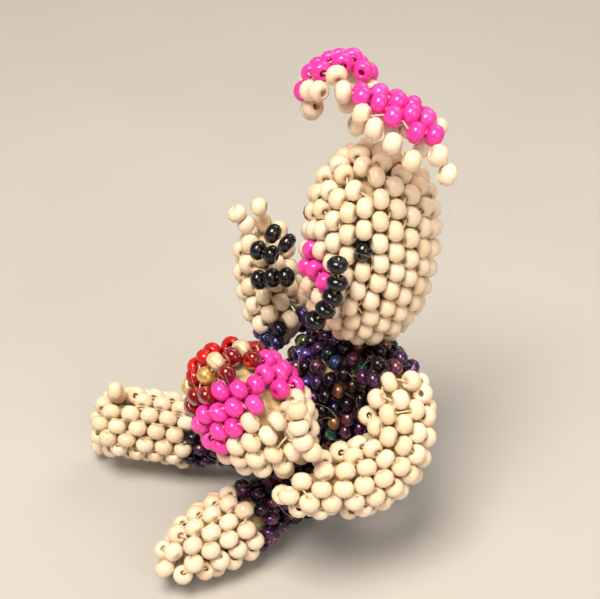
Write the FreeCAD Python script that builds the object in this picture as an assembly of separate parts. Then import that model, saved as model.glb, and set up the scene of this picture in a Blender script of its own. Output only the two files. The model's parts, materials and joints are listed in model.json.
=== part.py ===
import FreeCAD, Part
import math
import os

V = FreeCAD.Vector

# A seated rabbit stitched from glass seed beads over stuffing, one arm raised and an egg in the other.
# It faces -Y, its own left is +X and it sits on the plane z = 0. Lengths are millimetres.

# Seed beads: outside diameter, length along the hole, and hole diameter
ivory_bead = {"od": 2.2, "length": 1.5, "bore": 0.8}
shirt_bead = {"od": 1.8, "length": 1.25, "bore": 0.7}
whisker_bead = {"od": 2.35, "length": 1.5, "bore": 0.8}

# Spaces left between pieces
bead_gap = 0.07
stuffing_gap = 0.16
least_core_radius = 0.45
least_tip_radius = 0.02
body_gap = 0.55
lattice_slack = 0.03

# Torso: profile as (radius to the bead centres, height up the centre line)
torso_height = 21.3
torso_radius = 6.3
torso_width_ratio = 1.12
torso_lean = V(1.0, 1.9, 0)
seat_height = 0.92

# Head
neck_gap = 3.4
head_bottom = torso_lean + V(0.5, -0.3, torso_height + neck_gap)
head_length = 20.6
head_radius = 6.3
head_top = head_bottom + V(0, 1.5, head_length)
head_turn_deg = 13.0
muzzle_bulge = 1.1
muzzle_height = 6.6

# Beads of another colour on the head: degrees round from its left side, and distance up its skin
nose_spots = [(97, 10.0), (112, 11.5), (114, 8.7), (84, 8.8)]
eye_spots = [(46, 14.2), (134, 14.2)]

# Limbs: radius to the bead centres
arm_radius = 3.15
hand_radius = 2.1
raised_arm_radius = 2.9
foot_radius = 3.4
shank_radius = 2.45

# Ends of the raised arm and of the right leg, from the shoulder and the hip
raised_hand = V(-6.1, -1.6, 13.4)
right_toe_end = V(-13.8, -18.4, 2.5)

# How far the dark sleeves and trouser legs reach along each limb
cuffs = {"left_arm": 1.2, "right_arm": 3.6, "left_leg": 9.6, "right_leg": 11.4}

# Where the limbs leave the torso
left_shoulder = V(torso_radius * torso_width_ratio + 0.54, 2.0, torso_height - 0.1)
right_shoulder = V(1.86 - torso_radius * torso_width_ratio, -1.3, torso_height - 2.9)
left_hip = V(2.6, 1.7 - torso_radius, 3.9)
right_hip = V(-3.6, 2.1 - torso_radius, 3.9)

# Egg, held by the left hand
egg_centre = left_shoulder + V(-3.4, -14.7, -1.2)
egg_axis = V(0.85, 0.278, -0.447)
egg_length = 15.0
egg_radius = 5.35

# Ears
left_ear_half_width = 4.9
right_ear_half_width = 3.9
left_ear_dome = 0.05
right_ear_dome = 0.11
ear_tip_rim = 2.2
ear_root = 3.4

# Width of the ivory rim along the front and the back edge of each ear
ear_rims = {"left_ear": (1.55, 0.0), "right_ear": (1.55, 1.55)}

# How the beads settle: passes, the share of an overlap moved each pass, and the gap they push for
relax_passes = 90
pair_refresh = 7
push_share = 0.62
settled_gap = 0.09
least_gap = 0.04
worst_crowding = 0.4
fill_squeeze = 0.45
fill_rounds = 3
fullness = 0.95
survey_step = 0.3
ring_evening = 2
ring_rounding = 0.1
split_share = 0.3
widest_bead = max(kind["od"] for kind in (ivory_bead, shirt_bead, whisker_bead))
crowd_reach = widest_bead + 1.0

# Shares of the shirt's four bead colours, running total
shirt_mix = [("plum", 0.6), ("violet", 0.78), ("bronze", 0.9), ("green", 1.0)]
golden_share = 0.618034


def spline(points):
    curve = Part.BSplineCurve()
    curve.interpolate(points)
    return curve


def unit(vector):
    return vector * (1.0 / vector.Length)


def next_ring(previous, count):
    """Angles of a ring whose beads sit in the gaps of the ring before, with gaps split or skipped to fit."""
    full_turn = 2 * math.pi
    if not previous or count > 2 * len(previous) or count < 3:
        return [full_turn * k / count for k in range(count)]
    gaps = []
    for k, angle in enumerate(previous):
        width = (previous[(k + 1) % len(previous)] - angle) % full_turn or full_turn
        gaps.append((width, angle))
    ranked = sorted(range(len(gaps)), key=lambda k: gaps[k][0])
    extra = count - len(gaps)
    split = set(ranked[len(ranked) - extra:]) if extra > 0 else set()
    skipped = set(ranked[:-extra]) if extra < 0 else set()
    angles = []
    for k, (width, angle) in enumerate(gaps):
        if k in split:
            angles += [angle + width * split_share, angle + width * (1 - split_share)]
        elif k not in skipped:
            angles.append(angle + width * 0.5)
    for _ in range(ring_evening):
        angles = even_out(angles)
    return angles


def even_out(angles):
    """One step of each angle towards the middle of its two neighbours on the ring."""
    full_turn = 2 * math.pi
    count = len(angles)
    eased = []
    for k, angle in enumerate(angles):
        ahead = (angles[(k + 1) % count] - angle) % full_turn
        behind = (angle - angles[k - 1]) % full_turn
        eased.append(angle + 0.25 * (ahead - behind))
    return eased


class Tube:
    """A skin of rings round a curved centre line, with its radius set along the line."""

    def __init__(self, line, profile, facing, width_ratio=1.0, bulge=None):
        self.line = spline(line)
        self.length = self.line.length()
        self.profile = spline([V(radius, 0, along) for radius, along in profile])
        self.extent = self.profile.length()
        self.facing = facing
        self.width_ratio = width_ratio
        self.bulge = bulge

    def radius_and_place(self, across):
        spot = self.profile.value(self.profile.parameterAtDistance(across))
        return max(spot.x, least_tip_radius), spot.z

    def frame(self, along):
        held = min(max(along, 0.0), self.length)
        at = self.line.parameterAtDistance(held)
        tangent = unit(self.line.tangent(at)[0])
        centre = self.line.value(at) + tangent * (along - held)
        side = unit(tangent.cross(self.facing))
        return centre, side, side.cross(tangent)

    def point(self, across, angle):
        radius, along = self.radius_and_place(min(max(across, 0.0), self.extent))
        centre, side, front = self.frame(along)
        if self.bulge:
            radius = radius + self.bulge(angle, along)
        wide = radius * self.width_ratio
        return centre + side * (wide * math.cos(angle)) + front * (radius * math.sin(angle))

    def girth(self, across):
        radius = self.radius_and_place(across)[0]
        return 2 * math.pi * radius * math.sqrt((self.width_ratio ** 2 + 1) / 2)

    def lay(self, bead, first, last):
        """Rings of beads, every other column filled, each ring's beads in the gaps of the ring before."""
        row = (bead["od"] + bead_gap + lattice_slack) / 2
        column = bead["length"] + bead_gap + lattice_slack
        spots = []
        angles = []
        for ring in range(int((last - first) / row) + 1):
            across = first + ring * row
            count = max(1, int(self.girth(across) / (2 * column) + ring_rounding))
            angles = next_ring(angles, count)
            spots.extend((across, angle) for angle in angles)
        return spots

    def survey(self, first, last):
        """Spots all over the skin, close together."""
        spots = []
        for step in range(int((last - first) / survey_step) + 1):
            across = first + step * survey_step
            count = max(1, int(self.girth(across) / survey_step))
            spots.extend((across, 2 * math.pi * k / count) for k in range(count))
        return spots

    def solid(self, grow, stations=12, corners=14):
        """The same shape, grown or shrunk, as a closed solid of ruled bands with a cap at each end."""
        rings = []
        turns = [2 * math.pi * k / corners for k in range(corners)]
        for station in range(stations + 1):
            at = self.profile.parameterAtDistance(self.extent * station / stations)
            slope = unit(self.profile.tangent(at)[0])
            spot = self.profile.value(at)
            radius = spot.x + grow * slope.z
            along = spot.z - grow * slope.x
            if radius < least_core_radius:
                continue
            centre, side, front = self.frame(along)
            wide = side * (radius * self.width_ratio)
            ring = Part.BSplineCurve()
            ring.interpolate([centre + wide * math.cos(t) + front * (radius * math.sin(t)) for t in turns],
                             PeriodicFlag=True)
            rings.append(ring.toShape())
        faces = [Part.makeRuledSurface(low, high) for low, high in zip(rings, rings[1:])]
        faces += [Part.Face(Part.Wire([rings[0]])), Part.Face(Part.Wire([rings[-1]]))]
        shell = Part.Shell(faces)
        shell.sewShape()
        solid = Part.makeSolid(shell)
        if solid.Volume < 0:
            solid.reverse()
        return solid


class Sheet:
    """A domed strip of beadwork along a curved centre line, such as an ear."""

    def __init__(self, line, widths, across, dome):
        self.line = spline(line)
        self.extent = self.line.length()
        self.widths = widths
        self.across = unit(across)
        self.dome = dome

    def half_width(self, along):
        share = along / self.extent * (len(self.widths) - 1)
        low = min(int(share), len(self.widths) - 2)
        return self.widths[low] + (self.widths[low + 1] - self.widths[low]) * (share - low)

    def point(self, along, aside):
        held = min(max(along, 0.0), self.extent)
        at = self.line.parameterAtDistance(held)
        tangent = unit(self.line.tangent(at)[0])
        outward = unit(self.across.cross(tangent))
        centre = self.line.value(at) + tangent * (along - held)
        return centre + self.across * aside - outward * (self.dome * aside * aside)

    def girth(self, along):
        return 2 * self.half_width(along)

    def survey(self, first, last):
        """Spots all over the sheet, close together."""
        spots = []
        for step in range(int((last - first) / survey_step) + 1):
            along = first + step * survey_step
            count = int(self.half_width(along) / survey_step)
            spots.extend((along, survey_step * k) for k in range(-count, count + 1))
        return spots

    def lay(self, bead, first, last):
        row = (bead["od"] + bead_gap + lattice_slack) / 2
        column = bead["length"] + bead_gap + lattice_slack
        spots = []
        for ring in range(int((last - first) / row) + 1):
            along = first + ring * row
            reach = self.half_width(along)
            offset = column if ring % 2 else 0.0
            places = [2 * column * k + offset for k in range(-4, 5)]
            spots.extend((along, aside) for aside in places if abs(aside) <= reach)
        return spots


class Bead:
    """One bead: where it sits on its skin, its centre and the direction of its hole."""

    def __init__(self, kind, section, surface, spot):
        self.kind = kind
        self.section = section
        self.surface = surface
        self.spot = list(spot)
        self.tube_radius = kind["length"] / 2
        self.ring_radius = kind["od"] / 2 - self.tube_radius
        self.settle()

    def settle(self):
        a, b = self.spot
        step = 0.02
        here = self.surface.point(a, b)
        round_way = self.surface.point(a, b + step) - self.surface.point(a, b - step)
        along_way = self.surface.point(a + step, b) - self.surface.point(a - step, b)
        self.set_place(here, unit(round_way))
        self.along = unit(along_way) if along_way.Length > 1e-6 else self.axis.cross(V(0, 0, 1))
        self.round_scale = max(round_way.Length / (2 * step), 0.4)

    def set_place(self, centre, axis):
        self.centre = centre
        self.axis = axis
        one = unit(axis.cross(V(0.36, 0.48, 0.8)))
        two = axis.cross(one)
        turns = [math.pi * k / 6 for k in range(12)]
        r = self.ring_radius
        self.rim = [centre + one * (r * math.cos(t)) + two * (r * math.sin(t)) for t in turns]

    def push(self, move):
        self.spot[0] += move.dot(self.along)
        self.spot[1] += move.dot(self.axis) / self.round_scale


class LooseBead(Bead):
    """A bead on a free thread, placed by its centre and hole direction."""

    def __init__(self, kind, section, centre, axis):
        self.kind = kind
        self.section = section
        self.tube_radius = kind["length"] / 2
        self.ring_radius = kind["od"] / 2 - self.tube_radius
        self.set_place(centre, unit(axis))


def clearance(one, two):
    """The space between two beads, each a circle with a round tube on it."""
    ax, ay, az = two.axis
    cx, cy, cz = two.centre
    ring = two.ring_radius
    nearest = 1e9
    for x, y, z in one.rim:
        x -= cx
        y -= cy
        z -= cz
        height = x * ax + y * ay + z * az
        out = math.sqrt(max(x * x + y * y + z * z - height * height, 0.0)) - ring
        nearest = min(nearest, height * height + out * out)
    return math.sqrt(nearest) - one.tube_radius - two.tube_radius


def near_pairs(beads, reach):
    """Pairs of beads whose centres are within reach, found on a grid of cells."""
    cells = {}
    for index, bead in enumerate(beads):
        key = tuple(int(math.floor(c / reach)) for c in bead.centre)
        cells.setdefault(key, []).append(index)
    steps = [(i, j, k) for i in (-1, 0, 1) for j in (-1, 0, 1) for k in (-1, 0, 1)]
    pairs = []
    for key, members in cells.items():
        for step in steps:
            others = cells.get((key[0] + step[0], key[1] + step[1], key[2] + step[2]), ())
            for i in members:
                for j in others:
                    if i < j and beads[i].centre.distanceToPoint(beads[j].centre) < reach:
                        pairs.append((i, j))
    return sorted(pairs)


def relax(beads, gap):
    """Let beads that crowd each other slide apart on their skin, as thread tension does."""
    for turn in range(relax_passes):
        if turn % pair_refresh == 0:
            pairs = near_pairs(beads, crowd_reach)
        moves = [V(0, 0, 0) for _ in beads]
        moved = set()
        for i, j in pairs:
            one, two = beads[i], beads[j]
            if one.centre.distanceToPoint(two.centre) > one.kind["od"] / 2 + two.kind["od"] / 2 + gap:
                continue
            short = gap - clearance(one, two)
            if short > 0:
                apart = two.centre - one.centre
                apart = unit(apart) * (short * push_share) if apart.Length > 1e-6 else one.axis * short
                moves[i] -= apart
                moves[j] += apart
                moved.update((i, j))
        for index in moved:
            beads[index].push(moves[index])
            beads[index].settle()


def keep_clear(beads, fixed, gap, fixed_gap):
    """The beads that keep their distance from each other and from the bodies already made."""
    kept = []
    everything = fixed + beads
    crowd = {}
    for i, j in near_pairs(everything, crowd_reach):
        crowd.setdefault(j, []).append(i)
    taken = set(range(len(fixed)))
    for index, bead in enumerate(beads, len(fixed)):
        room = True
        for other in crowd.get(index, ()):
            need = fixed_gap if other < len(fixed) else gap
            if other in taken and clearance(everything[other], bead) < need:
                room = False
                break
        if room:
            taken.add(index)
            kept.append(bead)
    return kept


def skin(surface, kind, section, first=0.0, last=None):
    """The beads of one stretch of skin: laid in rings, thinned where they crowd, settled and filled."""
    end = surface.extent if last is None else last
    beads = [Bead(kind, section, surface, spot) for spot in surface.lay(kind, first, end)]
    beads = keep_clear(beads, [], -worst_crowding, body_gap)
    relax(beads, settled_gap)
    beads = keep_clear(beads, [], least_gap, body_gap)
    for _ in range(fill_rounds):
        room_for = int(fullness * full_count(surface, kind, first, end)) - len(beads)
        beads += fill_holes(beads, surface, kind, section, first, end)[:max(room_for, 0)]
        relax(beads, settled_gap)
        beads = keep_clear(beads, [], least_gap, body_gap)
    return beads


def full_count(surface, kind, first, last):
    """How many beads a gapless lattice of them would have on a stretch of skin."""
    one_bead = (kind["length"] + bead_gap + lattice_slack) * (kind["od"] + bead_gap + lattice_slack)
    steps = int((last - first) / survey_step)
    return sum(surface.girth(first + step * survey_step) for step in range(steps)) * survey_step / one_bead


def fill_holes(beads, surface, kind, section, first, last):
    """New beads for the holes, widest first, wherever the settled ones can make room for a whole bead."""
    tries = [Bead(kind, section, surface, spot) for spot in surface.survey(first, last)]
    rated = []
    for trial in tries:
        around = [bead for bead in beads if bead.centre.distanceToPoint(trial.centre) < crowd_reach]
        room = min([clearance(bead, trial) for bead in around] or [1.0])
        if room > -fill_squeeze:
            rated.append((room, trial))
    added = []
    for room, trial in sorted(rated, key=lambda pair: -pair[0]):
        if all(clearance(other, trial) > -fill_squeeze for other in added
               if other.centre.distanceToPoint(trial.centre) < crowd_reach):
            added.append(trial)
    return added


def strand(kind, section, points):
    """Beads threaded end to end: each hole points along the thread."""
    beads = []
    for index, point in enumerate(points):
        before = points[max(index - 1, 0)]
        after = points[min(index + 1, len(points) - 1)]
        beads.append(LooseBead(kind, section, point, after - before))
    return beads


def bead_solid(kind):
    """A bead is a round-sided ring: a circle's arc turned about the hole, with a straight hole."""
    half = kind["length"] / 2
    ring = kind["od"] / 2 - half
    bore = kind["bore"] / 2
    lip = math.sqrt(half * half - (bore - ring) ** 2)
    arc = Part.Arc(V(bore, 0, -lip), V(ring + half, 0, 0), V(bore, 0, lip)).toShape()
    wall = Part.makeLine(V(bore, 0, lip), V(bore, 0, -lip))
    return Part.Face(Part.Wire([arc, wall])).revolve(V(0, 0, 0), V(0, 0, 1), 360)


facing = V(0, -1, 0)
turned = V(math.sin(math.radians(head_turn_deg)), -math.cos(math.radians(head_turn_deg)), 0)


def make_torso():
    r = torso_radius
    h = torso_height
    profile = [(0.0, 0.0), (0.42 * r, 0.006 * h), (0.68 * r, 0.045 * h), (0.83 * r, 0.15 * h),
               (0.9 * r, 0.32 * h), (0.93 * r, 0.5 * h), (r, 0.7 * h), (0.9 * r, 0.84 * h),
               (0.6 * r, 0.955 * h), (0.3 * r, 0.995 * h), (0.0, h)]
    line = [V(0, 0, seat_height), torso_lean * 0.2 + V(0, 0, 0.33 * h), torso_lean * 0.6 + V(0, 0, 0.66 * h),
            torso_lean + V(0, 0, h)]
    return Tube(line, profile, turned, torso_width_ratio)


def muzzle(angle, along):
    """The muzzle swells out at the front, below the nose."""
    off = angle - math.pi / 2
    off = math.atan2(math.sin(off), math.cos(off))
    return muzzle_bulge * math.exp(-(off / 0.62) ** 2 - ((along - muzzle_height) / 3.4) ** 2)


def make_head():
    r = head_radius
    h = head_length
    profile = [(0.46 * r, 0.0), (0.68 * r, 0.05 * h), (0.9 * r, 0.18 * h), (r, 0.36 * h),
               (1.02 * r, 0.55 * h), (0.93 * r, 0.74 * h), (0.72 * r, 0.88 * h),
               (0.42 * r, 0.965 * h), (0.0, h)]
    b = head_bottom
    line = [b, b + V(0, 1.2, 5.0), b + V(-0.1, 1.9, 10.5), b + V(-0.1, 1.8, 16.0), b + V(0, 1.5, head_length)]
    return Tube(line, profile, turned, 1.0, muzzle)


def make_left_arm():
    steps = [V(0, 0, 0), V(3.4, -0.6, -2.4), V(5.3, -2.1, -5.3), V(5.9, -4.9, -6.9), V(5.7, -8.4, -7.0),
             V(4.9, -11.9, -6.8), V(3.4, -14.8, -6.9)]
    line = [left_shoulder + step for step in steps]
    length = spline(line).length()
    a = arm_radius
    profile = [(a * 0.9, 0.0), (a, 2.0), (a * 1.03, 8.0), (a, length - 6.5),
               (hand_radius * 1.15, length - 2.6), (hand_radius * 0.8, length - 0.6), (0.1, length + 0.1)]
    return Tube(line, profile, V(0, 0, 1))


def make_right_arm():
    steps = [V(0, 0, 0), V(-2.7, -1.2, 2.4), V(-4.5, -1.8, 5.9), V(-5.5, -1.8, 9.9), raised_hand]
    line = [right_shoulder + step for step in steps]
    length = spline(line).length()
    a = raised_arm_radius
    profile = [(a * 0.95, 0.0), (a, 2.0), (a * 0.95, length * 0.6), (a * 0.8, length - 2.2),
               (a * 0.55, length - 0.7), (0.1, length)]
    return Tube(line, profile, facing)


def leg_profile(shank, tip):
    f = foot_radius
    s = shank_radius
    return [(s * 0.9, 0.0), (s, 1.5), (s, shank - 0.8), (f * 0.93, shank + 1.2), (f, shank + 3.6)] + tip


def make_left_leg():
    steps = [V(0, 0, 0), V(1.0, -5.0, 0.4), V(2.0, -10.4, 0.7), V(2.8, -15.6, 0.4), V(3.4, -20.4, -0.5)]
    line = [left_hip + step for step in steps]
    length = spline(line).length()
    f = foot_radius
    tip = [(f * 0.93, length - 6.0), (f * 0.7, length - 3.0), (f * 0.42, length - 1.0), (0.1, length - 0.1)]
    return Tube(line, leg_profile(6.6, tip), V(0, 0, 1))


def make_right_leg():
    steps = [V(0, 0, 0), V(-3.8, -5.0, 1.0), V(-7.6, -9.7, 1.9), V(-11.0, -14.2, 2.4), right_toe_end]
    line = [right_hip + step for step in steps]
    length = spline(line).length()
    f = foot_radius
    tip = [(f, length - 3.5), (f * 0.92, length - 1.4), (f * 0.55, length - 0.25), (0.1, length - 0.05)]
    return Tube(line, leg_profile(9.0, tip), V(0, 0, 1))


def make_egg():
    half = egg_length / 2
    r = egg_radius
    way = unit(egg_axis)
    shares = [(0.0, 0.0), (0.45, 0.05), (0.84, 0.22), (1.0, 0.45), (0.93, 0.67), (0.68, 0.86),
              (0.38, 0.96), (0.0, 1.0)]
    profile = [(across * r, along * egg_length) for across, along in shares]
    return Tube([egg_centre - way * half, egg_centre, egg_centre + way * half], profile, V(0, 0, 1))


def make_left_ear():
    steps = [V(1, 1.4, 0.6), V(1.2, 1.7, 3.9), V(3.0, 0.4, 7.6), V(6.4, -1.0, 7.3), V(9.4, -1.4, 4.0)]
    line = [head_top + step for step in steps]
    w = left_ear_half_width
    widths = [0.75 * w, 0.9 * w, 1.0 * w, 1.0 * w, 0.95 * w, 0.8 * w]
    return Sheet(line, widths, V(-0.63, -0.73, 0.28), left_ear_dome)


def make_right_ear():
    steps = [V(-3.6, 2.7, 0), V(-4.0, 2.7, 4.0), V(-5.4, 0.7, 8.3), V(-6.5, -2.1, 7.8), V(-7.3, -2.6, 2.0)]
    line = [head_top + step for step in steps]
    w = right_ear_half_width
    widths = [0.45 * w, 0.75 * w, 0.9 * w, 0.95 * w, 0.85 * w, 0.5 * w]
    return Sheet(line, widths, V(-0.85, 0.42, -0.3), right_ear_dome)


surfaces = {
    "torso": make_torso(),
    "head": make_head(),
    "left_arm": make_left_arm(),
    "right_arm": make_right_arm(),
    "left_leg": make_left_leg(),
    "right_leg": make_right_leg(),
    "egg": make_egg(),
    "left_ear": make_left_ear(),
    "right_ear": make_right_ear(),
}


def loose_beads():
    """Whiskers, fingers, thumb and toes: short threads of beads outside the skins."""
    left_cheek = head_bottom + V(head_radius + 0.3, -head_radius, 0)
    right_cheek = head_bottom + V(0.6 - head_radius, -head_radius, 0)
    left_whisker = [V(-1.0, 0.6, 12.6), V(-0.8, 0.5, 10.6), V(-1.0, 0.1, 8.8),
                    V(-1.5, -0.4, 7.1), V(-2.3, -1.1, 5.5)]
    right_whiskers = [
        [V(1.2, 0.3, 9.7), V(0.0, -0.7, 10.5)],
        [V(0.9, 0.3, 7.5), V(-0.5, -0.7, 7.5), V(-2.0, -1.5, 7.5)],
        [V(1.2, 0.2, 5.3), V(-0.1, -0.8, 4.8), V(-1.4, -1.8, 4.1)],
    ]
    left_thumb = [V(0, 1.4, 4.7), V(0.6, 1.3, 3.0), V(1.2, 1.4, 1.4), V(1.7, 2.2, 0)]
    long_finger = [V(-0.6, -1.8, 0.2), V(-1.2, -2.6, 1.5), V(-1.8, -3.6, 2.5)]
    egg_side = egg_centre + V(egg_radius + 2.15, 0, 0)
    hand = right_shoulder + raised_hand
    toes = right_hip + right_toe_end
    groups = {
        "left_whisker_beads": [[left_cheek + step for step in left_whisker]],
        "right_whisker_beads": [[right_cheek + step for step in row] for row in right_whiskers],
        "left_thumb_beads": [[egg_side + step for step in left_thumb]],
        "right_finger_beads": [[hand + V(0, -0.5, 2.4)], [hand + step for step in long_finger]],
        "right_toe_beads": [[toes + V(1.2, 2.0, foot_radius + 1.4)], [toes - V(0.5, 0.2, foot_radius + 0.9)]],
    }
    beads = {}
    for name, strands in groups.items():
        kind = whisker_bead if "whisker" in name else ivory_bead
        beads[name] = []
        for points in strands:
            if len(points) > 1:
                beads[name] += strand(kind, name, points)
            else:
                beads[name].append(LooseBead(kind, name, points[0], V(0.48, 0.87, 0)))
    return beads


def lay_everything():
    """All the beads of every section, settled, in the order in which the sections are sewn on."""
    loose = loose_beads()
    sections = {}
    sections["torso"] = skin(surfaces["torso"], shirt_bead, "torso")
    sections["head"] = skin(surfaces["head"], ivory_bead, "head")
    for name in ("egg", "left_ear", "right_ear"):
        sections[name] = skin(surfaces[name], ivory_bead, name)
    for name, cuff in cuffs.items():
        sections[name] = skin(surfaces[name], shirt_bead, name + "_cuff", 0.0, cuff)
        sleeve_end = cuff + (shirt_bead["od"] + ivory_bead["od"]) / 4
        sections[name] += skin(surfaces[name], ivory_bead, name, sleeve_end)
    for name in cuffs:
        relax(sections[name], settled_gap)

    riders = {"head": ["left_whisker_beads", "right_whisker_beads"], "left_arm": ["left_thumb_beads"],
              "right_arm": ["right_finger_beads"], "right_leg": ["right_toe_beads"]}
    bodies = [("torso",), ("head",), ("left_arm", "egg"), ("right_arm",), ("left_leg",), ("right_leg",),
              ("left_ear",), ("right_ear",)]
    placed = []
    kept = []
    for body in bodies:
        group = []
        for name in body:
            for rider in riders.get(name, ()):
                group += loose[rider]
        for name in body[::-1]:
            group += sections[name]
        group = keep_clear(group, placed, least_gap, body_gap)
        placed = placed + group
        kept += group
    return kept


def nearest(beads, spots):
    """The beads closest to the given places, a different one for each."""
    chosen = []
    for spot in spots:
        left = [bead for bead in beads if bead not in chosen]
        chosen.append(min(left, key=lambda bead: bead.centre.distanceToPoint(spot)))
    return chosen


def head_spot(angle_deg, along):
    return surfaces["head"].point(along, math.radians(angle_deg))


def egg_colour(bead):
    """The egg's bands, from its far end: red, gold set in red, clear ruby, pink, then ivory."""
    share = bead.spot[0] / surfaces["egg"].extent
    if share < 0.17:
        return "red"
    if share < 0.25:
        return "gold" if int(bead.spot[1] / math.pi * 5) % 2 else "red"
    if share < 0.36:
        return "ruby"
    return "pink" if share < 0.6 else "ivory"


def ear_colour(bead):
    """Ivory round the edge of an ear and up its root, pink inside."""
    along, aside = bead.spot
    sheet = surfaces[bead.section]
    front_rim, back_rim = ear_rims[bead.section]
    half = sheet.half_width(along)
    ivory = aside > half - front_rim or aside < back_rim - half
    ends = along < ear_root or along > sheet.extent - ear_tip_rim
    return "_rim_beads" if ivory or ends else "_pink_beads"


def shirt_colour(index):
    """The shirt's colours are mixed at random, bead by bead."""
    mix = (index * golden_share) % 1.0
    return next(colour for colour, total in shirt_mix if mix <= total)


def name_nodes(beads):
    """Each bead's node, by its section, its colour and its place."""
    nodes = {}
    head = [bead for bead in beads if bead.section == "head"]
    nose = nearest(head, [head_spot(angle, along) for angle, along in nose_spots])
    eyes = nearest(head, [head_spot(angle, along) for angle, along in eye_spots])
    for index, bead in enumerate(beads):
        section = bead.section
        if section == "torso" and bead.centre.z < 1.9:
            name = "seat_beads"
        elif section == "torso":
            name = "shirt_beads_" + shirt_colour(index)
        elif section == "head":
            name = "nose_beads" if bead in nose else "eye_beads" if bead in eyes else "head_beads"
        elif section == "egg":
            name = "egg_" + egg_colour(bead) + "_beads"
        elif section.endswith("_arm_cuff"):
            name = section.replace("arm_cuff", "sleeve_beads")
        elif section.endswith("_leg_cuff"):
            name = section.replace("leg_cuff", "trouser_beads")
        elif section.endswith("_ear"):
            name = section + ear_colour(bead)
        elif section.endswith("_leg"):
            name = section.replace("leg", "foot") + "_beads"
        elif section.endswith("_arm"):
            name = section + "_beads"
        else:
            name = section
        nodes.setdefault(name, []).append(bead)
    return nodes


def stuffing():
    """The filling inside each section, clear of its beads and of its neighbours."""
    ivory_room = ivory_bead["od"] / 2 + stuffing_gap
    shirt_room = shirt_bead["od"] / 2 + stuffing_gap
    torso_skin = surfaces["torso"].solid(shirt_bead["od"] / 2 + body_gap)
    solids = {"torso_stuffing": surfaces["torso"].solid(-shirt_room)}
    solids["head_stuffing"] = surfaces["head"].solid(-ivory_room)
    solids["egg_stuffing"] = surfaces["egg"].solid(-ivory_room)
    for name in ("left_arm", "right_arm", "left_leg", "right_leg"):
        solids[name + "_stuffing"] = surfaces[name].solid(-ivory_room, stations=16).cut(torso_skin)
    return solids


def export(name, shape):
    shape.exportStep(os.path.join("parts", name + ".step"))
    print(name, len(shape.Solids), round(shape.Volume, 2))


def main():
    os.makedirs("parts", exist_ok=True)
    beads = lay_everything()
    models = {}
    for name, group in name_nodes(beads).items():
        solids = []
        for bead in group:
            key = bead.kind["od"]
            if key not in models:
                models[key] = bead_solid(bead.kind)
            solid = models[key].copy()
            solid.Placement = FreeCAD.Placement(bead.centre, FreeCAD.Rotation(V(0, 0, 1), bead.axis))
            solids.append(solid)
        export(name, Part.makeCompound(solids))
    for name, solid in stuffing().items():
        export(name, solid)
    return beads


if __name__ == "__main__":
    main()
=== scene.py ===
import json
import math

import bpy
import numpy as np
from mathutils import Matrix, Vector

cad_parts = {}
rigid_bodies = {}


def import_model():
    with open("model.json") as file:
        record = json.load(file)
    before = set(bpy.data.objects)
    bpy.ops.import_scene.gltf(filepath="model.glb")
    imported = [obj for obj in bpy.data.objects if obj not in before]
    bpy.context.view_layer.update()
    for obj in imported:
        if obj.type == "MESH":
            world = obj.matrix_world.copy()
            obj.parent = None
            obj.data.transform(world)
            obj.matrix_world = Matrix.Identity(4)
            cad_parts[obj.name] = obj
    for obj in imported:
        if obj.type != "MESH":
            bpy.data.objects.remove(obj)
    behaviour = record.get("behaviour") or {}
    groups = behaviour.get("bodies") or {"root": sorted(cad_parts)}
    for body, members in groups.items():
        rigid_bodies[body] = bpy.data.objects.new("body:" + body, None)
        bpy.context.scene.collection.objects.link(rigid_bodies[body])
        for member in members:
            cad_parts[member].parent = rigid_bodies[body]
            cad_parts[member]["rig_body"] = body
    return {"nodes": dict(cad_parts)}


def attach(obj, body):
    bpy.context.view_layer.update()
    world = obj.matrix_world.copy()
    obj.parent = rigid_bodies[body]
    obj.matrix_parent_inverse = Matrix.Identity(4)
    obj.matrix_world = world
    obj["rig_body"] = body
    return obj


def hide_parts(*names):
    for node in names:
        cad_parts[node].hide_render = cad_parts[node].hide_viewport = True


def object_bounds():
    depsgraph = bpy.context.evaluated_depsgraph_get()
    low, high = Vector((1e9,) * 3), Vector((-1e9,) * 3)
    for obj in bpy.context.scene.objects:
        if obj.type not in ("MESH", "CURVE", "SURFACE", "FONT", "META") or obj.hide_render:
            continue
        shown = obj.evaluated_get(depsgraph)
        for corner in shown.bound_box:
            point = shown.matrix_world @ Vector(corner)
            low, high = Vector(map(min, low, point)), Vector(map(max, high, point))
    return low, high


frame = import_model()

# A rabbit stitched from glass seed beads: every bead of the frame gets a rounded glass bead of its own,
# the sewing thread runs from hole to hole, and cotton shows in the gaps.

mm = 0.001
cadLow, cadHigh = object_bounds()


def srgb(code):
    # each channel of a hex colour to linear light: c/12.92 below 0.04045, else ((c + 0.055)/1.055)^2.4
    channels = [int(code[i:i + 2], 16) / 255 for i in (1, 3, 5)]
    linear = [c / 12.92 if c <= 0.04045 else ((c + 0.055) / 1.055) ** 2.4 for c in channels]
    return (*linear, 1.0)


def addNode(tree, kind, settings=None, links=None):
    # One node with its settings and its incoming links. A setting is a socket's value by the socket's name
    # or number, a ramp's stops as (place, hex colour), or a property of the node.
    node = tree.nodes.new(kind)
    for key, value in (settings or {}).items():
        if key == "stops":
            elements = node.color_ramp.elements
            while len(elements) < len(value):
                elements.new(0.5)
            for element, (place, code) in zip(elements, value):
                element.position = place
                element.color = srgb(code)
        elif isinstance(key, int) or key in node.inputs:
            node.inputs[key].default_value = value
        else:
            setattr(node, key, value)
    for key, socket in (links or {}).items():
        tree.links.new(socket, node.inputs[key])
    return node


def newMaterial(name):
    # an empty node material and its tree
    material = bpy.data.materials.new(name)
    material.use_nodes = True
    material.node_tree.nodes.clear()
    return material, material.node_tree


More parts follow.
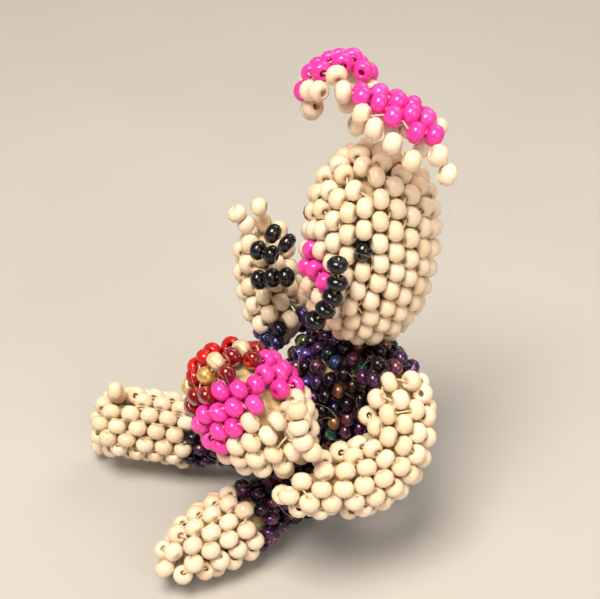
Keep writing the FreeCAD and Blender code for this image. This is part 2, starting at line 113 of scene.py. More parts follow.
def finishMaterial(tree, shader):
    # the shader goes out as the surface
    addNode(tree, "ShaderNodeOutputMaterial", links={"Surface": shader.outputs[0]})


# Each finish: batch colours, the colour of painted pink bounce light that beads near pink beads are mixed
# toward (light reflected off the pink glass), roughness range and subsurface share.
opaqueFinish = {
    "ivory": {"stops": [(0.0, "#E8D1B2"), (0.4, "#EBD7BC"), (1.0, "#F0DFC8")],
              "paintedBounce": "#F0BDB4", "roughness": (0.18, 0.32), "subsurface": 0.3},
    "pink": {"stops": [(0.0, "#E22E98"), (0.5, "#EC3CA8"), (1.0, "#F450B4")],
             "paintedBounce": "#EC3CA8", "roughness": (0.12, 0.24), "subsurface": 0.1},
    "red": {"stops": [(0.0, "#A00A10"), (0.5, "#B81216"), (1.0, "#CC1C1C")],
            "paintedBounce": "#B81216", "roughness": (0.08, 0.18), "subsurface": 0.05},
}


def opaqueGlass(name, finish):
    # Opaque soda glass, tumbled and fire-polished: a soft wide highlight, a little light carried inside the
    # bead, a slightly different batch colour from bead to bead, and painted pink bounce light on beads near
    # pink ones.
    material, tree = newMaterial(name)
    place = addNode(tree, "ShaderNodeTexCoord")
    tone = addNode(tree, "ShaderNodeAttribute", {"attribute_name": "beadTone"})
    paintedBounce = addNode(tree, "ShaderNodeAttribute", {"attribute_name": "beadBlush"})
    cloud = addNode(tree, "ShaderNodeTexNoise", {"Scale": 1 / (0.9 * mm)},
                    {"Vector": place.outputs["Object"]})
    drift = addNode(tree, "ShaderNodeMath", {"operation": "MULTIPLY_ADD", 1: 0.3, 2: -0.15},
                    {0: cloud.outputs["Fac"]})
    mixed = addNode(tree, "ShaderNodeMath", {"operation": "ADD", "use_clamp": True},
                    {0: tone.outputs["Fac"], 1: drift.outputs[0]})
    batch = addNode(tree, "ShaderNodeValToRGB", {"stops": finish["stops"]}, {0: mixed.outputs[0]})
    # painted pink bounce light: beads near pink beads are mixed toward the finish's bounce colour, for light
    # reflected off the pink glass
    tinted = addNode(tree, "ShaderNodeMix", {"data_type": "RGBA", 7: srgb(finish["paintedBounce"])},
                     {"Factor": paintedBounce.outputs["Fac"], 6: batch.outputs[0]})
    low, high = finish["roughness"]
    sheen = addNode(tree, "ShaderNodeMapRange", {"To Min": low, "To Max": high}, {0: cloud.outputs["Fac"]})
    grain = addNode(tree, "ShaderNodeTexNoise", {"Scale": 1 / (0.35 * mm), "Detail": 3.0},
                    {"Vector": place.outputs["Object"]})
    bump = addNode(tree, "ShaderNodeBump", {"Strength": 0.25, "Distance": 0.02 * mm},
                   {"Height": grain.outputs["Fac"]})
    shader = addNode(tree, "ShaderNodeBsdfPrincipled",
                     {"IOR": 1.52, "Subsurface Weight": finish["subsurface"],
                      "Subsurface Radius": (1.0, 0.7, 0.45), "Subsurface Scale": 0.5 * mm},
                     {"Base Color": tinted.outputs[2], "Roughness": sheen.outputs[0],
                      "Normal": bump.outputs[0]})
    finishMaterial(tree, shader)
    return material


def clearRubyGlass():
    # Transparent ruby glass, fire-polished: a deep red that varies at random, as the glass looks where the
    # path through it is long, a brighter red painted round the hole as painted light shining through the
    # glass there, and a sharp highlight.
    material, tree = newMaterial("clearRubyGlass")
    place = addNode(tree, "ShaderNodeTexCoord")
    tone = addNode(tree, "ShaderNodeAttribute", {"attribute_name": "beadTone"})
    hole = addNode(tree, "ShaderNodeAttribute", {"attribute_name": "holeWall"})
    cloud = addNode(tree, "ShaderNodeTexNoise", {"Scale": 1 / (0.8 * mm)},
                    {"Vector": place.outputs["Object"]})
    body = addNode(tree, "ShaderNodeValToRGB",
                   {"stops": [(0.3, "#6A060C"), (0.55, "#860C10"), (0.75, "#A01814")]},
                   {0: cloud.outputs["Fac"]})
    # painted light: a brighter red on the hole wall and its lips, for light shining through the glass round
    # the hole
    paintedHoleLight = addNode(tree, "ShaderNodeValToRGB", {"stops": [(0.0, "#B01814"), (1.0, "#D03A22")]},
                     {0: tone.outputs["Fac"]})
    colour = addNode(tree, "ShaderNodeMix", {"data_type": "RGBA"},
                     {"Factor": hole.outputs["Fac"], 6: body.outputs[0], 7: paintedHoleLight.outputs[0]})
    shader = addNode(tree, "ShaderNodeBsdfPrincipled",
                     {"IOR": 1.52, "Roughness": 0.07, "Transmission Weight": 0.22},
                     {"Base Color": colour.outputs[2]})
    finishMaterial(tree, shader)
    return material


def silverLinedGoldGlass():
    # Amber glass over a silvered hole: the light the mirror inside throws back is painted in as creamy gold
    # patches.
    material, tree = newMaterial("silverLinedGoldGlass")
    place = addNode(tree, "ShaderNodeTexCoord")
    tone = addNode(tree, "ShaderNodeAttribute", {"attribute_name": "beadTone"})
    # the cells both bump the surface and carry painted reflection patches in the colour
    facetsAndPaintedGlints = addNode(tree, "ShaderNodeTexVoronoi", {"Scale": 1 / (0.7 * mm)},
                     {"Vector": place.outputs["Object"]})
    mixed = addNode(tree, "ShaderNodeMath", {"operation": "MULTIPLY_ADD", "use_clamp": True, 1: 0.8},
                    {0: facetsAndPaintedGlints.outputs["Distance"], 2: tone.outputs["Fac"]})
    # painted reflection: the cells run from amber to pale cream for light thrown back by the silver lining
    colour = addNode(tree, "ShaderNodeValToRGB",
                     {"stops": [(0.0, "#B07C34"), (0.45, "#D2A456"), (0.8, "#ECCB88"), (1.0, "#FAE8BC")]},
                     {0: mixed.outputs[0]})
    bump = addNode(tree, "ShaderNodeBump", {"Strength": 0.3, "Distance": 0.05 * mm},
                   {"Height": facetsAndPaintedGlints.outputs["Distance"]})
    shader = addNode(tree, "ShaderNodeBsdfPrincipled",
                     {"Metallic": 0.45, "Roughness": 0.24, "Coat Weight": 0.6, "Coat Roughness": 0.05,
                      "Coat IOR": 1.52},
                     {"Base Color": colour.outputs[0], "Normal": bump.outputs[0]})
    finishMaterial(tree, shader)
    return material


def jetGlass():
    # Jet black glass, tumbled: almost no colour of its own, mirror-like with faint pulled streaks.
    material, tree = newMaterial("jetGlass")
    place = addNode(tree, "ShaderNodeTexCoord")
    cloud = addNode(tree, "ShaderNodeTexNoise", {"Scale": 1 / (0.6 * mm), "Detail": 3.0},
                    {"Vector": place.outputs["Object"]})
    colour = addNode(tree, "ShaderNodeValToRGB",
                     {"stops": [(0.35, "#08080A"), (0.6, "#121417"), (0.8, "#22262A")]},
                     {0: cloud.outputs["Fac"]})
    sheen = addNode(tree, "ShaderNodeMapRange", {"To Min": 0.04, "To Max": 0.18}, {0: cloud.outputs["Fac"]})
    bump = addNode(tree, "ShaderNodeBump", {"Strength": 0.35, "Distance": 0.05 * mm},
                   {"Height": cloud.outputs["Fac"]})
    shader = addNode(tree, "ShaderNodeBsdfPrincipled", {"IOR": 1.55},
                     {"Base Color": colour.outputs[0], "Roughness": sheen.outputs[0],
                      "Normal": bump.outputs[0]})
    finishMaterial(tree, shader)
    return material


irisShades = {
    "plum": [(0.0, "#120A10"), (0.4, "#2C1630"), (0.6, "#5A2C5C"), (0.75, "#2A2450"), (1.0, "#7A4450")],
    "violet": [(0.0, "#0E0B1A"), (0.4, "#282456"), (0.6, "#4E48A0"), (0.75, "#663C84"), (1.0, "#244C74")],
    "bronze": [(0.0, "#160E0A"), (0.4, "#3E261C"), (0.6, "#805034"), (0.75, "#5C3040"), (1.0, "#A07840")],
    "green": [(0.0, "#0A1410"), (0.4, "#143C34"), (0.6, "#247A64"), (0.75, "#7C8C18"), (1.0, "#3A3468")],
}


def irisGlass(name, stops):
    # Black glass fumed with metal salts: a thin oxide skin that turns from plum through blue to bronze
    # within one bead, over glass that is nearly black.
    material, tree = newMaterial(name)
    place = addNode(tree, "ShaderNodeTexCoord")
    tone = addNode(tree, "ShaderNodeAttribute", {"attribute_name": "beadTone"})
    cloud = addNode(tree, "ShaderNodeTexNoise", {"Scale": 1 / (0.55 * mm)},
                    {"Vector": place.outputs["Object"]})
    drift = addNode(tree, "ShaderNodeMath", {"operation": "MULTIPLY_ADD", 1: 1.2, 2: -0.6},
                    {0: cloud.outputs["Fac"]})
    mixed = addNode(tree, "ShaderNodeMath", {"operation": "ADD", "use_clamp": True},
                    {0: tone.outputs["Fac"], 1: drift.outputs[0]})
    colour = addNode(tree, "ShaderNodeValToRGB", {"stops": stops}, {0: mixed.outputs[0]})
    sheen = addNode(tree, "ShaderNodeMapRange", {"To Min": 0.16, "To Max": 0.34}, {0: cloud.outputs["Fac"]})
    shader = addNode(tree, "ShaderNodeBsdfPrincipled",
                     {"Metallic": 0.6, "Coat Weight": 0.35, "Coat Roughness": 0.1, "Coat IOR": 1.55},
                     {"Base Color": colour.outputs[0], "Roughness": sheen.outputs[0]})
    finishMaterial(tree, shader)
    return material


def sewingThread():
    # Twisted polyester thread, waxed by hand: cream with a faint sheen, tinted by the pink and red beads
    # it runs through, and dark where it sews the shirt.
    material, tree = newMaterial("waxedSewingThread")
    dye = addNode(tree, "ShaderNodeAttribute", {"attribute_name": "threadDye"})
    dark = addNode(tree, "ShaderNodeAttribute", {"attribute_name": "threadDark"})
    place = addNode(tree, "ShaderNodeTexCoord")
    ply = addNode(tree, "ShaderNodeTexWave", {"Scale": 1 / (0.35 * mm), "Distortion": 3.0, "Detail": 2.0},
                  {"Vector": place.outputs["Object"]})
    base = addNode(tree, "ShaderNodeValToRGB",
                   {"stops": [(0.0, "#C4AC7C"), (0.5, "#E0CDA0"), (1.0, "#F0E0BC")]}, {0: ply.outputs["Fac"]})
    dyed = addNode(tree, "ShaderNodeMix", {"data_type": "RGBA", 7: srgb("#F79ABE")},
                   {"Factor": dye.outputs["Fac"], 6: base.outputs[0]})
    colour = addNode(tree, "ShaderNodeMix", {"data_type": "RGBA", 7: srgb("#241A26")},
                     {"Factor": dark.outputs["Fac"], 6: dyed.outputs[2]})
    bump = addNode(tree, "ShaderNodeBump", {"Strength": 0.5, "Distance": 0.04 * mm},
                   {"Height": ply.outputs["Fac"]})
    shader = addNode(tree, "ShaderNodeBsdfPrincipled", {"Roughness": 0.6, "Sheen Weight": 0.15},
                     {"Base Color": colour.outputs[2], "Normal": bump.outputs[0]})
    finishMaterial(tree, shader)
    return material


def cottonStuffing():
    # Loose cotton packed behind the beads: matt, cream darkened toward brown as painted shade for cotton in
    # the beads' shadow, in soft tufts about a millimetre across.
    material, tree = newMaterial("cottonStuffing")
    place = addNode(tree, "ShaderNodeTexCoord")
    tuftsAndShade = addNode(tree, "ShaderNodeTexNoise", {"Scale": 1 / (1.1 * mm), "Detail": 6.0},
                    {"Vector": place.outputs["Object"]})
    # painted shade: the tuft tones vary at random but are all darkened, down to a brown, for cotton lying in
    # the beads' shadow
    colour = addNode(tree, "ShaderNodeValToRGB",
                     {"stops": [(0.3, "#8A7450"), (0.5, "#C8B284"), (0.7, "#E4D2A8")]},
                     {0: tuftsAndShade.outputs["Fac"]})
    fibres = addNode(tree, "ShaderNodeTexNoise", {"Scale": 1 / (0.12 * mm), "Detail": 4.0},
                     {"Vector": place.outputs["Object"]})
    bump = addNode(tree, "ShaderNodeBump", {"Strength": 0.8, "Distance": 0.1 * mm},
                   {"Height": fibres.outputs["Fac"]})
    shader = addNode(tree, "ShaderNodeBsdfPrincipled", {"Roughness": 0.95, "Sheen Weight": 0.3},
                     {"Base Color": colour.outputs[0], "Normal": bump.outputs[0]})
    finishMaterial(tree, shader)
    return material


def strayCottonFibre():
    # Single cotton hairs worked loose: pale and dull.
    material, tree = newMaterial("strayCottonFibre")
    place = addNode(tree, "ShaderNodeTexCoord")
    cloud = addNode(tree, "ShaderNodeTexNoise", {"Scale": 1 / (2.0 * mm)},
                    {"Vector": place.outputs["Object"]})
    colour = addNode(tree, "ShaderNodeValToRGB", {"stops": [(0.3, "#B8AC98"), (0.7, "#EDE4D2")]},
                     {0: cloud.outputs["Fac"]})
    shader = addNode(tree, "ShaderNodeBsdfPrincipled", {"Roughness": 0.8, "Sheen Weight": 0.3},
                     {"Base Color": colour.outputs[0]})
    finishMaterial(tree, shader)
    return material


def backdropPaper():
    # Matt studio paper: even, with a tooth too fine to see and a faint unevenness of tone.
    material, tree = newMaterial("backdropPaper")
    place = addNode(tree, "ShaderNodeTexCoord")
    cloud = addNode(tree, "ShaderNodeTexNoise", {"Scale": 1 / (40.0 * mm)},
                    {"Vector": place.outputs["Object"]})
    colour = addNode(tree, "ShaderNodeValToRGB", {"stops": [(0.2, "#B4B3B2"), (0.8, "#BAB9B8")]},
                     {0: cloud.outputs["Fac"]})
    shader = addNode(tree, "ShaderNodeBsdfPrincipled", {"Roughness": 0.9}, {"Base Color": colour.outputs[0]})
    finishMaterial(tree, shader)
    return material


def looseParts(points, triangles):
    # a part number for each triangle: every point takes the lowest number among its triangles' points,
    # over and over, until nothing changes
    labels = np.arange(len(points))
    while True:
        lowest = labels[triangles].min(axis=1)
        fresh = labels.copy()
        for corner in range(3):
            np.minimum.at(fresh, triangles[:, corner], lowest)
        fresh = fresh[fresh]
        if np.array_equal(fresh, labels):
            return np.unique(labels[triangles[:, 0]], return_inverse=True)[1]
        labels = fresh


beadReading = {
    "weld": 1e-6,  # points closer than this many metres are one
    "stride": 200003,  # more welding steps than the figure has along any side
    "sense": (0.31, 0.47, 0.83),  # a hole's direction is the one of its two that leans this way
    "order": 0.01,  # millimetres within which two places count as level when beads are put in order
}


def readBeads(node):
    # Each bead's centre is the area-weighted mean of its triangles, and its hole runs along the direction
    # in which their spread is least. The beads are put in order of place.
    mesh = frame["nodes"][node].data
    count = len(mesh.vertices)
    points = np.empty(count * 3, np.float32)
    mesh.vertices.foreach_get("co", points)
    points = points.reshape(-1, 3).astype(float)
    corners = np.empty(len(mesh.loops), np.int32)
    mesh.loops.foreach_get("vertex_index", corners)
    triangles = corners.reshape(-1, 3)

    grid = np.round((points - points.min(axis=0)) / beadReading["weld"]).astype(np.int64)
    stride = beadReading["stride"]
    key = (grid[:, 0] * stride + grid[:, 1]) * stride + grid[:, 2]
    first, merged = np.unique(key, return_index=True, return_inverse=True)[1:]
    part = looseParts(points[first], merged[triangles])

    a, b, c = (points[triangles[:, k]] for k in range(3))
    area = np.linalg.norm(np.cross(b - a, c - a), axis=1) / 2
    middle = (a + b + c) / 3
    parts = part.max() + 1
    total = np.bincount(part, area, parts)
    centre = np.stack([np.bincount(part, area * middle[:, k], parts) / total for k in range(3)], axis=1)
    away = middle - centre[part]
    spread = np.empty((parts, 3, 3))
    for i in range(3):
        for j in range(3):
            spread[:, i, j] = np.bincount(part, area * away[:, i] * away[:, j], parts) / total
    hole = np.linalg.eigh(spread)[1][:, :, 0]
    hole *= np.where(hole @ np.array(beadReading["sense"]) < 0, -1, 1)[:, None]
    order = np.lexsort(np.round(centre / (beadReading["order"] * mm)).T)
    return centre[order], hole[order]


def meshPiece(name, points, quads, caps=None, pointValues=None):
    # a mesh object from arrays of points and faces; the values go in as point attributes
    mesh = bpy.data.meshes.new(name)
    faces = quads.tolist() + (caps.tolist() if caps is not None else [])
    mesh.from_pydata(points.reshape(-1, 3), [], faces)
    mesh.polygons.foreach_set("use_smooth", np.ones(len(faces), bool))
    for key, values in (pointValues or {}).items():
        attribute = mesh.attributes.new(key, "FLOAT", "POINT")
        attribute.data.foreach_set("value", values.astype(np.float32).ravel())
    mesh.update()
    piece = bpy.data.objects.new(name, mesh)
    bpy.context.scene.collection.objects.link(piece)
    return piece


def squareTo(directions):
    # two unit vectors square to each direction and to each other
    guide = np.where(np.abs(directions[:, :1]) < 0.7, np.array([[1.0, 0, 0]]), np.array([[0, 1.0, 0]]))
    one = np.cross(directions, guide)
    one /= np.linalg.norm(one, axis=1)[:, None]
    return one, np.cross(directions, one)


def gridFaces(copies, rows, columns, closedRows):
    # quads of copies of a grid of rows by columns that closes round its columns, and over its rows if asked
    row = np.arange(rows if closedRows else rows - 1)[:, None]
    column = np.arange(columns)[None, :]
    nextRow, nextColumn = (row + 1) % rows, (column + 1) % columns
    quad = np.stack([row * columns + column, row * columns + nextColumn,
                     nextRow * columns + nextColumn, nextRow * columns + column], axis=-1).reshape(-1, 4)
    start = np.arange(copies)[:, None, None] * rows * columns
    return (quad[None] + start).reshape(-1, 4)


beadShapes = {  # millimetres
    "round": {"outside": 2.32, "length": 1.8, "hole": 0.8, "sides": 12},
    "small": {"outside": 1.96, "length": 1.46, "hole": 0.66, "sides": 10},
    "whisker": {"outside": 2.35, "length": 1.56, "hole": 0.8, "sides": 12},
}
beadWander = {"size": 0.035, "length": 0.05, "tilt": 0.06, "mostTilt": 0.14, "slide": 0.02, "mostSlide": 0.05}
# painted pink bounce light: it fades over these millimetres from the nearest pink bead, up to the strongest
# share
paintedPinkBounce = {"ends": 3.0, "fade": 2.0, "most": 0.45}  # millimetres from a pink bead, and the strongest tint


def beadProfile(shape):
    # (distance from the hole's axis, place along it): an arc from lip to lip, which the last edge closes
    # through the hole
    outside, half, hole = shape["outside"] / 2 * mm, shape["length"] / 2 * mm, shape["hole"] / 2 * mm
    ring = outside - half
    lip = math.acos((hole - ring) / half)
    turn = lip * np.array([-1.0, -0.6, -0.2, 0.2, 0.6, 1.0])
    return ring + half * np.cos(turn), half * np.sin(turn)


def beadPiece(node, kind, seed, pinkCentres):
    # Every bead is its profile turned about its hole: centre + hole*along + (one*cos + two*sin)*away,
    # with a small change of size, tilt and place for each.
    shape = beadShapes[kind]
    centre, hole = readBeads(node)
    count = len(centre)
    draw = np.random.default_rng(seed)
    tone = draw.random(count)
    size = 1 + beadWander["size"] * draw.uniform(-1, 0.4, count)  # more beads run small than large
    stretch = 1 + beadWander["length"] * draw.uniform(-1, 1, count)
    one, two = squareTo(hole)
    mostTilt, mostSlide = beadWander["mostTilt"], beadWander["mostSlide"] * mm
    lean = draw.normal(0, beadWander["tilt"], (count, 2)).clip(-mostTilt, mostTilt)
    leaning = hole + one * lean[:, :1] + two * lean[:, 1:]
    leaning /= np.linalg.norm(leaning, axis=1)[:, None]
    one, two = squareTo(leaning)
    place = centre + draw.normal(0, beadWander["slide"] * mm, (count, 3)).clip(-mostSlide, mostSlide)

    away, along = beadProfile(shape)
    sides = shape["sides"]
    turn = np.linspace(0, 2 * np.pi, sides, endpoint=False)[None] + draw.uniform(0, 2 * np.pi, (count, 1))
    spoke = one[:, None] * np.cos(turn)[..., None] + two[:, None] * np.sin(turn)[..., None]
    onHole = along[None, :] * stretch[:, None]
    offHole = away[None, :] * size[:, None]
    points = (place[:, None, None] + leaning[:, None, None] * onHole[..., None, None]
              + spoke[:, None] * offHole[..., None, None])
    faces = gridFaces(count, len(away), sides, True)[:, ::-1]

    corners = len(away) * sides
    wall = np.zeros((count, len(away), sides))
    wall[:, [0, -1]] = 1.0
    # painted pink bounce light: the nearer the closest pink bead, the more of the bounce colour the bead
    # takes
    distance = np.linalg.norm(centre[:, None] - pinkCentres[None], axis=2).min(axis=1)
    paintedBounce = np.clip((paintedPinkBounce["ends"] * mm - distance) / (paintedPinkBounce["fade"] * mm), 0, 1) * paintedPinkBounce["most"]
    piece = meshPiece(node + "_glass", points, faces, pointValues={
        "beadTone": np.repeat(tone, corners), "beadBlush": np.repeat(paintedBounce, corners), "holeWall": wall})
    return piece, place, leaning


threadSizes = {
    "radius": 0.11, "reach": 1.4, "partners": 2, "sides": 5, "stations": 6, "tuck": 0.35, "arch": 0.2,
    "tint": {"pink": 0.7, "red": 0.7, "ruby": 0.7},  # how much of each glass's colour the thread takes
}


def tubePoints(path, radius, sides):
    # A round tube on each path: path + (u*cos + v*sin)*radius, where v is square to the path and to the
    # line's own bend, and u to both.
    ahead = np.gradient(path, axis=1)
    ahead /= np.linalg.norm(ahead, axis=2)[..., None]
    chord = path[:, -1] - path[:, 0]
    middle = path[:, path.shape[1] // 2] - path[:, 0]
    bend = np.cross(chord, middle + chord[:, [1, 2, 0]] * 0.05)  # the last term gives a straight path a bend
    bend /= np.linalg.norm(bend, axis=1)[:, None]
    v = np.cross(ahead, bend[:, None])
    v /= np.linalg.norm(v, axis=2)[..., None]
    u = np.cross(v, ahead)
    turn = np.linspace(0, 2 * np.pi, sides, endpoint=False)
    ring = u[:, :, None] * np.cos(turn)[:, None] + v[:, :, None] * np.sin(turn)[:, None]
    return path[:, :, None] + ring * radius


def tubeCaps(copies, stations, sides):
    # the two end faces of each tube
    start = np.arange(copies)[:, None] * stations * sides
    low = start + np.arange(sides)[None]
    return np.concatenate([low, (low + (stations - 1) * sides)[:, ::-1]])


def threadPiece(name, centre, hole, half, dye, dark):
    # From each end of each hole the thread goes to the nearest ends of other beads' holes: a cubic curve
    # with weights (1-t)^3, 3(1-t)^2*t, 3(1-t)*t^2 and t^3, that leaves and enters along the holes.
    ends = np.concatenate([centre - hole * half[:, None], centre + hole * half[:, None]])
    outward = np.concatenate([-hole, hole])
    owner = np.tile(np.arange(len(centre)), 2)
    gap = np.linalg.norm(ends[:, None] - ends[None], axis=2)
    gap[owner[:, None] == owner[None]] = 1.0  # never to the same bead's other end
    partners = threadSizes["partners"]
    nearest = np.argsort(gap, axis=1)[:, :partners]
    reach = threadSizes["reach"] * mm
    one = np.repeat(np.arange(len(ends)), partners)
    two = nearest.ravel()
    near = gap[one, two] < reach
    pairs = np.unique(np.sort(np.stack([one[near], two[near]], axis=1), axis=1), axis=0)
    i, j = pairs.T
    tuck, arch = threadSizes["tuck"] * mm, threadSizes["arch"] * mm
    t = np.linspace(0, 1, threadSizes["stations"])[None, :, None]
    p = [ends[i] - outward[i] * tuck, ends[i] + outward[i] * arch, ends[j] + outward[j] * arch,
         ends[j] - outward[j] * tuck]
    p = [corner[:, None] for corner in p]
    path = (1 - t) ** 3 * p[0] + 3 * (1 - t) ** 2 * t * p[1] + 3 * (1 - t) * t ** 2 * p[2] + t ** 3 * p[3]
    sides, stations = threadSizes["sides"], threadSizes["stations"]
    points = tubePoints(path, threadSizes["radius"] * mm, sides)

    def shared(values):
        return np.maximum(values[owner[i]], values[owner[j]])

    faces = gridFaces(len(i), stations, sides, False)
    return meshPiece(name, points, faces, tubeCaps(len(i), stations, sides),
                     {"threadDye": np.repeat(shared(dye), stations * sides),
                      "threadDark": np.repeat(shared(dark), stations * sides)})


fibreSizes = {  # radius and length in millimetres, the rest shares of the length or of the bead's radius
    "radius": 0.01, "length": (1.2, 3.4), "rise": (0.05, 0.5), "curl": 0.6, "wave": (0.05, 0.22),
    "waveTurn": 3.4, "root": 0.9, "sides": 3, "stations": 9,
}


def fibrePiece(name, centre, outward, rim, count, seed):
    # A fibre leaves a bead's surface and wanders over its length:
    # start + (along*s + side*curl*s^2 + away*wave*sin(waveTurn*s))*length, held above the floor
    draw = np.random.default_rng(seed)
    pick = draw.integers(0, len(centre), count)
    away = outward[pick]
    along = np.cross(away, draw.normal(size=(count, 3)))
    along /= np.linalg.norm(along, axis=1)[:, None]
    along = along + away * draw.uniform(*fibreSizes["rise"], (count, 1))
    side = np.cross(away, along)
    length = draw.uniform(*fibreSizes["length"], (count, 1, 1)) * mm
    s = np.linspace(0, 1, fibreSizes["stations"])[None, :, None]
    curl = draw.uniform(-fibreSizes["curl"], fibreSizes["curl"], (count, 1, 1))
    wave = draw.uniform(*fibreSizes["wave"], (count, 1, 1))
    start = centre[pick] + away * (rim[pick][:, None] * fibreSizes["root"])
    path = (start[:, None] + along[:, None] * (s * length) + side[:, None] * (s ** 2 * curl * length)
            + away[:, None] * (np.sin(fibreSizes["waveTurn"] * s) * wave * length))
    path[..., 2] = np.maximum(path[..., 2], cadLow.z + 2 * fibreSizes["radius"] * mm)
    sides, stations = fibreSizes["sides"], fibreSizes["stations"]
    points = tubePoints(path, fibreSizes["radius"] * mm, sides)
    return meshPiece(name, points, gridFaces(count, stations, sides, False), tubeCaps(count, stations, sides))


cottonSizes = {
    "weld": 0.002, "voxel": 0.42, "tuft": 0.07, "sink": 0.05,
    "waves": ((2.3, 0.4, 0.6), (1.1, 1.7, 0.4)),  # wavelength, shift in radians, share
}


def cottonPiece(node):
    # The filling's own closed skin, remeshed evenly and pushed in and out by crossed waves:
    # tuft * sin(x)*sin(y)*sin(z) summed over the wavelengths, less a small sink all over
    piece = bpy.data.objects.new(node + "_cotton", frame["nodes"][node].data.copy())
    bpy.context.scene.collection.objects.link(piece)
    weld = piece.modifiers.new("weld", "WELD")
    weld.merge_threshold = cottonSizes["weld"] * mm
    remesh = piece.modifiers.new("remesh", "REMESH")
    remesh.mode = "VOXEL"
    remesh.voxel_size = cottonSizes["voxel"] * mm
    bpy.context.view_layer.update()
    mesh = bpy.data.meshes.new_from_object(piece.evaluated_get(bpy.context.evaluated_depsgraph_get()))
    piece.modifiers.clear()
    piece.data = mesh
    points = np.empty(len(mesh.vertices) * 3, np.float32)
    normals = np.empty(len(mesh.vertices) * 3, np.float32)
    mesh.vertices.foreach_get("co", points)
    mesh.vertices.foreach_get("normal", normals)
    points, normals = points.reshape(-1, 3), normals.reshape(-1, 3)
    waves = sum(np.prod(np.sin(points * (2 * math.pi / (wavelength * mm)) + shift), axis=1) * share
                for wavelength, shift, share in cottonSizes["waves"])
    points = points + normals * (waves[:, None] * cottonSizes["tuft"] * mm - cottonSizes["sink"] * mm)
    mesh.vertices.foreach_set("co", points.astype(np.float32).ravel())
    mesh.polygons.foreach_set("use_smooth", np.ones(len(mesh.polygons), bool))
    mesh.update()
    return piece


print("materials")
glass = {
    "ivory": opaqueGlass("ivoryOpaqueGlass", opaqueFinish["ivory"]),
    "pink": opaqueGlass("pinkOpaqueGlass", opaqueFinish["pink"]),
    "red": opaqueGlass("redOpaqueGlass", opaqueFinish["red"]),
    "ruby": clearRubyGlass(),
    "gold": silverLinedGoldGlass(),
    "jet": jetGlass(),
}
for shadeName, shadeStops in irisShades.items():
    glass[shadeName] = irisGlass(shadeName + "IrisGlass", shadeStops)
thread = sewingThread()
cotton = cottonStuffing()
hair = strayCottonFibre()

# each node's bead shape and glass
nodeGlass = {
    "seat_beads": ("small", "plum"), "shirt_beads_plum": ("small", "plum"),
    "shirt_beads_violet": ("small", "violet"), "shirt_beads_bronze": ("small", "bronze"),
    "shirt_beads_green": ("small", "green"),
    "left_sleeve_beads": ("small", "plum"), "right_sleeve_beads": ("small", "violet"),
    "left_trouser_beads": ("small", "plum"), "right_trouser_beads": ("small", "plum"),
    "head_beads": ("round", "ivory"), "nose_beads": ("round", "pink"), "eye_beads": ("round", "jet"),
    "left_whisker_beads": ("whisker", "jet"), "right_whisker_beads": ("whisker", "jet"),
    "left_arm_beads": ("round", "ivory"), "left_thumb_beads": ("round", "ivory"),
    "right_arm_beads": ("round", "ivory"), "right_finger_beads": ("round", "ivory"),
    "egg_red_beads": ("round", "red"), "egg_gold_beads": ("round", "gold"),
    "egg_ruby_beads": ("round", "ruby"), "egg_pink_beads": ("round", "pink"),
    "egg_ivory_beads": ("round", "ivory"), "left_foot_beads": ("round", "ivory"),
    "right_foot_beads": ("round", "ivory"), "right_toe_beads": ("round", "ivory"),
    "left_ear_pink_beads": ("round", "pink"), "left_ear_rim_beads": ("round", "ivory"),
    "right_ear_pink_beads": ("round", "pink"), "right_ear_rim_beads": ("round", "ivory"),
}
firstSeed = {"beads": 100, "fibres": 300}
beadsAround = 40  # the beads whose middle a fibre points away from
fibreCounts = {"torso": 34, "head": 24, "left_arm": 36, "right_arm": 14, "left_leg": 34, "right_leg": 34,
               "left_ear": 5, "right_ear": 5}

print("beads")
pinkNodes = ["egg_pink_beads", "nose_beads", "left_ear_pink_beads", "right_ear_pink_beads"]
pinkCentres = np.concatenate([readBeads(node)[0] for node in pinkNodes])
sewn = {}
for seed, (node, (kind, colour)) in enumerate(sorted(nodeGlass.items())):
    body = frame["nodes"][node]["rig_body"]
    piece, centre, hole = beadPiece(node, kind, firstSeed["beads"] + seed, pinkCentres)
    piece.data.materials.append(glass[colour])
    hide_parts(node)
    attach(piece, body)
    half = np.full(len(centre), beadShapes[kind]["length"] / 2 * mm)
    rim = np.full(len(centre), beadShapes[kind]["outside"] / 2 * mm)
    dye = np.full(len(centre), threadSizes["tint"].get(colour, 0.0))
    dark = np.full(len(centre), 1.0 if colour in irisShades else 0.0)
    sewn.setdefault(body, []).append((centre, hole, half, rim, dye, dark))

print("thread and fibres")
for seed, body in enumerate(sorted(sewn)):
    centre, hole, half, rim, dye, dark = (np.concatenate(columns) for columns in zip(*sewn[body]))
    piece = threadPiece("sewing_thread_" + body, centre, hole, half, dye, dark)
    piece.data.materials.append(thread)
    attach(piece, body)
    near = np.argsort(np.linalg.norm(centre[:, None] - centre[None], axis=2), axis=1)[:, :beadsAround]
    outward = centre - centre[near].mean(axis=1)
    outward /= np.linalg.norm(outward, axis=1)[:, None]
    piece = fibrePiece("stray_fibres_" + body, centre, outward, rim, fibreCounts[body],
                       firstSeed["fibres"] + seed)
    piece.data.materials.append(hair)
    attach(piece, body)

print("cotton")
for node in sorted(frame["nodes"]):
    if node.endswith("_stuffing"):
        piece = cottonPiece(node)
        piece.data.materials.clear()
        piece.data.materials.append(cotton)
        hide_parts(node)
        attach(piece, frame["nodes"][node]["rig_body"])

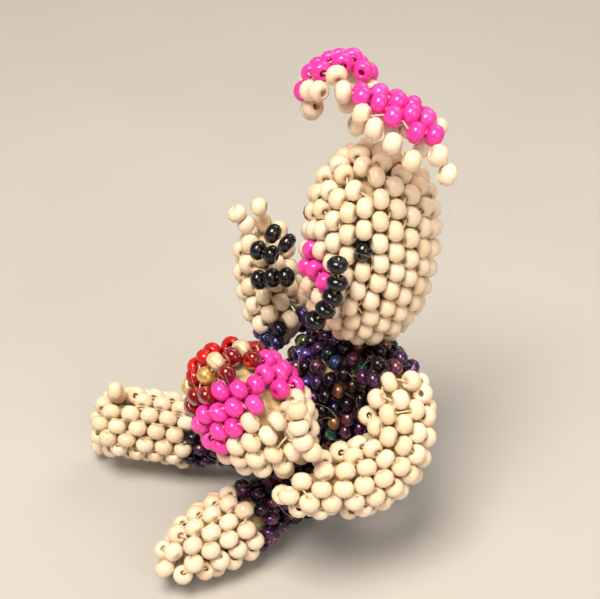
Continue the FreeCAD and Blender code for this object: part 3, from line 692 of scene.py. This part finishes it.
studio = {
    "floorSize": 3.0,
    "world": ("#E9E4DC", 0.28),
    # name, azimuth, elevation, distance, size, power, colour
    "lamps": [("keyLamp", 30, 66, 0.4, 0.2, 2.45, "#FFF2E0"),
              ("fillLamp", 100, 30, 0.5, 0.3, 0.8, "#FFF4E8"),
              ("backLamp", 200, 48, 0.5, 0.3, 0.9, "#FFEFD8")],
}
view = {
    "azimuth": 61.0, "elevation": 35.0, "distance": 0.15, "aim": (-0.00413, -0.00215, 0.02554),
    "lens": 80.36, "sensor": 36.0, "clipStart": 0.01, "clipEnd": 20.0,
}


def lookFrom(azimuth, elevation):
    # the unit direction from the figure towards a viewer; azimuth 0 stands in front of it, at -Y
    a, e = math.radians(azimuth), math.radians(elevation)
    return Vector((math.sin(a) * math.cos(e), -math.cos(a) * math.cos(e), math.sin(e)))


def turnedTowards(place, target):
    # at a place, with -Z towards the target and +Y up
    turn = (target - place).to_track_quat("-Z", "Y")
    return Matrix.Translation(place) @ turn.to_matrix().to_4x4()


print("studio")
figureMiddle = (cadLow + cadHigh) / 2
half = studio["floorSize"] / 2
floorPoints = np.array([(-half, -half, 0), (half, -half, 0), (half, half, 0), (-half, half, 0)], float)
floorPoints[:, 2] = cadLow.z
floor = meshPiece("floor", floorPoints, np.array([[0, 1, 2, 3]]))
floor.data.materials.append(backdropPaper())

world = bpy.data.worlds.new("softRoom")
world.use_nodes = True
world.node_tree.nodes["Background"].inputs["Color"].default_value = srgb(studio["world"][0])
world.node_tree.nodes["Background"].inputs["Strength"].default_value = studio["world"][1]
bpy.context.scene.world = world
bpy.context.scene.view_settings.view_transform = "Standard"  # the glass keeps its full colour

for lampName, azimuth, elevation, distance, size, power, colour in studio["lamps"]:
    light = bpy.data.lights.new(lampName, "AREA")
    light.size = size
    light.energy = power
    light.color = srgb(colour)[:3]
    lamp = bpy.data.objects.new(lampName, light)
    lamp.matrix_world = turnedTowards(figureMiddle + lookFrom(azimuth, elevation) * distance, figureMiddle)
    bpy.context.scene.collection.objects.link(lamp)

cameraData = bpy.data.cameras.new("camera")
cameraData.lens = view["lens"]
cameraData.sensor_width = view["sensor"]
cameraData.clip_start = view["clipStart"]
cameraData.clip_end = view["clipEnd"]
camera = bpy.data.objects.new("camera", cameraData)
aim = Vector(view["aim"])
eye = aim + lookFrom(view["azimuth"], view["elevation"]) * view["distance"]
camera.matrix_world = turnedTowards(eye, aim)
bpy.context.scene.collection.objects.link(camera)
bpy.context.scene.camera = camera
